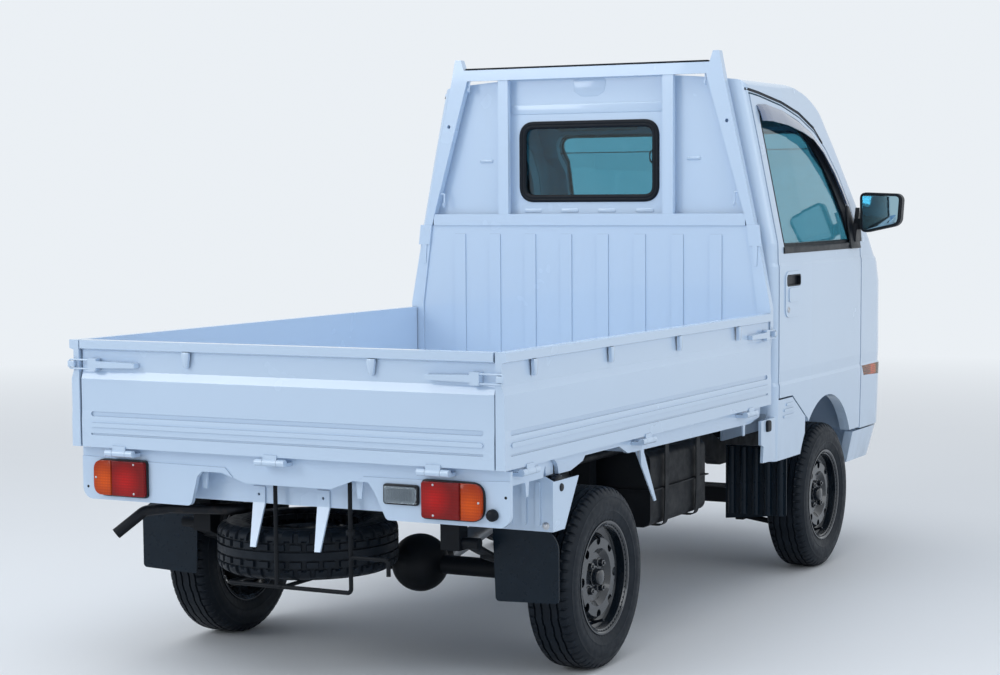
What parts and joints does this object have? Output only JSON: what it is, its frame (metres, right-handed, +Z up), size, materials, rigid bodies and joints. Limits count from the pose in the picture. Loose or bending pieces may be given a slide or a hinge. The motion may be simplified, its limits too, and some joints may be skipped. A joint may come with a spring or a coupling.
{
  "type": "kei truck",
  "caption": "Small cab-over pickup with a dropside bed, guard frame behind the cab, opening doors and gates, and steered front wheels.",
  "frame": {"origin": "on the ground under the middle of the overall box", "axes": "+Y towards the tail, +X towards the truck's left, +Z up"},
  "size_m": [1.7324, 3.2949, 1.8219],
  "materials": {
    "body_white": "gloss",
    "cast_metal": "rough",
    "dash_grey": "grained",
    "flap_rubber": "matt",
    "frame_black": "satin",
    "glass_tint": "clear",
    "lamp_clear": "clear",
    "lamp_red": "clear",
    "seat_grey": "woven",
    "steel": "satin",
    "tank_black": "matt",
    "trim_black": "grained",
    "tyre_rubber": "matt",
    "wheel_black": "gloss"
  },
  "bodies": {
    "root": {"bed_floor": "body_white", "cab_back": "body_white", "cab_floor": "body_white", "cab_front": "body_white", "cab_glass": "glass_tint", "cab_roof": "body_white", "cab_side_left": "body_white", "cab_side_right": "body_white", "chassis_frame": "frame_black", "dashboard": "dash_grey", "engine_block": "cast_metal", "exhaust": "steel", "front_beam": "frame_black", "front_bumper": "body_white", "front_lamps": "lamp_clear", "fuel_tank": "tank_black", "guard_frame": "body_white", "headboard": "body_white", "mudflaps": "flap_rubber", "mudguards": "body_white", "propshaft": "steel", "rear_axle": "frame_black", "rear_beam": "body_white", "rear_lamps": "lamp_red", "rear_sill": "body_white", "seats": "seat_grey", "side_sill_left": "body_white", "side_sill_right": "body_white", "spare_carrier": "frame_black", "spare_wheel": "tyre_rubber", "splash_panels": "flap_rubber"},
    "knuckle_left": {"knuckle_left": "frame_black"},
    "knuckle_right": {"knuckle_right": "frame_black"},
    "wheel_front_left": {"tyre_front_left": "tyre_rubber", "rim_front_left": "wheel_black"},
    "wheel_front_right": {"tyre_front_right": "tyre_rubber", "rim_front_right": "wheel_black"},
    "wheel_rear_left": {"tyre_rear_left": "tyre_rubber", "rim_rear_left": "wheel_black"},
    "wheel_rear_right": {"tyre_rear_right": "tyre_rubber", "rim_rear_right": "wheel_black"},
    "door_left": {"door_left": "body_white", "door_glass_left": "glass_tint", "mirror_left": "trim_black"},
    "side_gate_left": {"side_gate_left": "body_white", "side_latch_left": "body_white"},
    "door_right": {"door_right": "body_white", "door_glass_right": "glass_tint", "mirror_right": "trim_black"},
    "side_gate_right": {"side_gate_right": "body_white", "side_latch_right": "body_white"},
    "tail_gate": {"tail_gate": "body_white", "tail_latches": "body_white"},
    "steering_wheel": {"steering_wheel": "trim_black"}
  },
  "joints": [
    {"name": "wheel_rear_left_spin", "type": "hinge", "parent": "root", "child": "wheel_rear_left", "pos_m": [0.606, 0.977, 0.26], "axis": [1, 0, 0], "continuous": true},
    {"name": "wheel_rear_right_spin", "type": "hinge", "parent": "root", "child": "wheel_rear_right", "pos_m": [-0.606, 0.977, 0.26], "axis": [1, 0, 0], "continuous": true},
    {"name": "steer_left", "type": "hinge", "parent": "root", "child": "knuckle_left", "pos_m": [0.55, -0.908, 0.15], "axis": [-0.1615, 0, 0.9869], "range_deg": [-34, 34]},
    {"name": "steer_right", "type": "hinge", "parent": "root", "child": "knuckle_right", "pos_m": [-0.55, -0.908, 0.15], "axis": [0.1615, 0, 0.9869], "range_deg": [-34, 34]},
    {"name": "wheel_front_left_spin", "type": "hinge", "parent": "knuckle_left", "child": "wheel_front_left", "pos_m": [0.606, -0.908, 0.26], "axis": [1, 0, 0], "continuous": true},
    {"name": "wheel_front_right_spin", "type": "hinge", "parent": "knuckle_right", "child": "wheel_front_right", "pos_m": [-0.606, -0.908, 0.26], "axis": [1, 0, 0], "continuous": true},
    {"name": "steering_wheel_turn", "type": "hinge", "parent": "root", "child": "steering_wheel", "pos_m": [-0.325, -1.12, 1.02], "axis": [0, 0.5939, 0.8046], "range_deg": [-520, 520]},
    {"name": "door_left_hinge", "type": "hinge", "parent": "root", "child": "door_left", "pos_m": [0.673, -1.232, 0.8], "axis": [0, 0, 1], "range_deg": [-65, 0]},
    {"name": "side_gate_left_hinge", "type": "hinge", "parent": "root", "child": "side_gate_left", "pos_m": [0.693, 0.6705, 0.627], "axis": [0, 1, 0], "range_deg": [0, 155]},
    {"name": "door_right_hinge", "type": "hinge", "parent": "root", "child": "door_right", "pos_m": [-0.673, -1.232, 0.8], "axis": [0, 0, 1], "range_deg": [0, 65]},
    {"name": "side_gate_right_hinge", "type": "hinge", "parent": "root", "child": "side_gate_right", "pos_m": [-0.693, 0.6705, 0.627], "axis": [0, -1, 0], "range_deg": [0, 155]},
    {"name": "tail_gate_hinge", "type": "hinge", "parent": "root", "child": "tail_gate", "pos_m": [0, 1.6325, 0.627], "axis": [-1, 0, 0], "range_deg": [0, 180]}
  ],
  "couplings": [
    {"joint": "steer_left", "follows": "steer_right", "ratio": 1},
    {"joint": "steering_wheel_turn", "follows": "steer_right", "ratio": 15}
  ]
}
